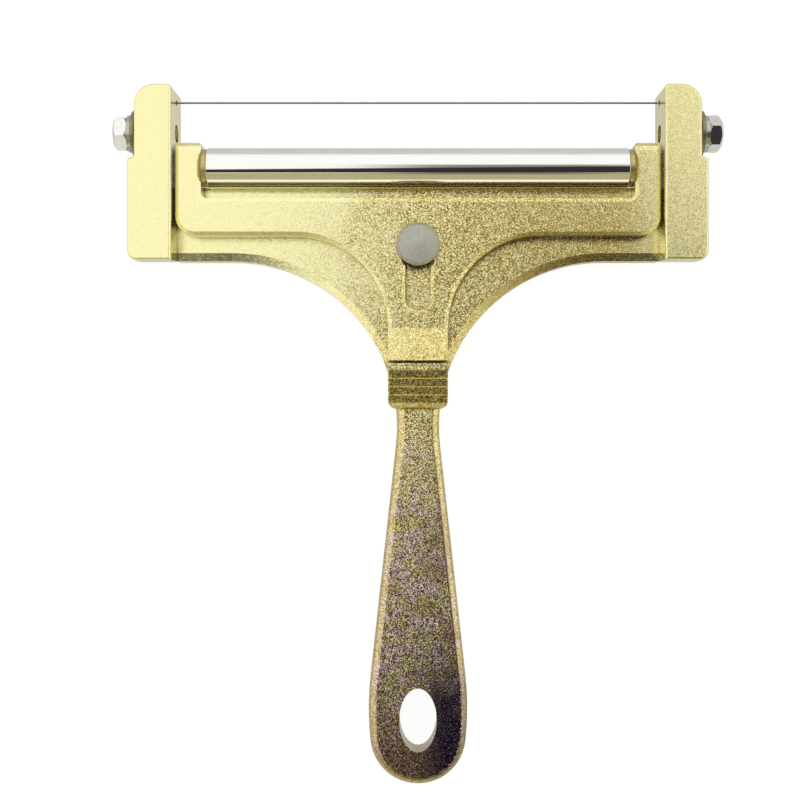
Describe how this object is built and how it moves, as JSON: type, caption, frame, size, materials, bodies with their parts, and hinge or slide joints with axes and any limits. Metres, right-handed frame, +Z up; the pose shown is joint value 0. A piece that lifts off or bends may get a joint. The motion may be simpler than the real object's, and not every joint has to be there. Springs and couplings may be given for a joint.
{
  "type": "cheese wire cutter",
  "caption": "Hand-held cheese slicer: a taut wire between the posts of a flat cast frame, with a sliding carriage whose roller sets the slice thickness.",
  "frame": {"origin": "on the flat back, below the middle of the whole tool's box", "axes": "+X along the wire to the right-hand post, +Y from the handle to the wire, +Z up from the flat back"},
  "size_m": [0.152, 0.174, 0.014],
  "materials": {
    "gold_casting": "yellow-chromated zinc die casting, fine cast grain, satin sparkle",
    "polished_steel": "polished",
    "bright_steel": "bright zinc plated",
    "satin_steel": "satin",
    "washer_steel": "dull plated",
    "spring_steel": "oiled spring steel",
    "wire_steel": "drawn stainless wire",
    "bush_brass": "turned"
  },
  "bodies": {
    "frame": {"frame": "gold_casting", "cutting_wire": "wire_steel", "guide_screw": "satin_steel", "guide_spring_washer": "spring_steel", "flat_washer_left": "washer_steel", "lock_washer_left": "spring_steel", "flat_washer_right": "washer_steel", "lock_washer_right": "spring_steel"},
    "slider": {"slider": "gold_casting", "roller_axle": "bright_steel"},
    "roller": {"roller_tube": "polished_steel", "roller_bush_left": "bush_brass", "roller_bush_right": "bush_brass"},
    "left_screw": {"clamp_screw_left": "bright_steel"},
    "right_screw": {"clamp_screw_right": "bright_steel"}
  },
  "joints": [
    {"name": "slider_travel", "type": "slide", "parent": "frame", "child": "slider", "axis": [0, 1, 0], "range_m": [0, 0.0095]},
    {"name": "roller_spin", "type": "hinge", "parent": "slider", "child": "roller", "pos_m": [0, 0.067, 0.0085], "axis": [1, 0, 0], "continuous": true},
    {"name": "left_screw_turn", "type": "hinge", "parent": "frame", "child": "left_screw", "pos_m": [-0.0725, 0.076, 0.0063], "axis": [-1, 0, 0], "range_deg": [0, 720]},
    {"name": "right_screw_turn", "type": "hinge", "parent": "frame", "child": "right_screw", "pos_m": [0.0725, 0.076, 0.0063], "axis": [1, 0, 0], "range_deg": [0, 720]}
  ]
}
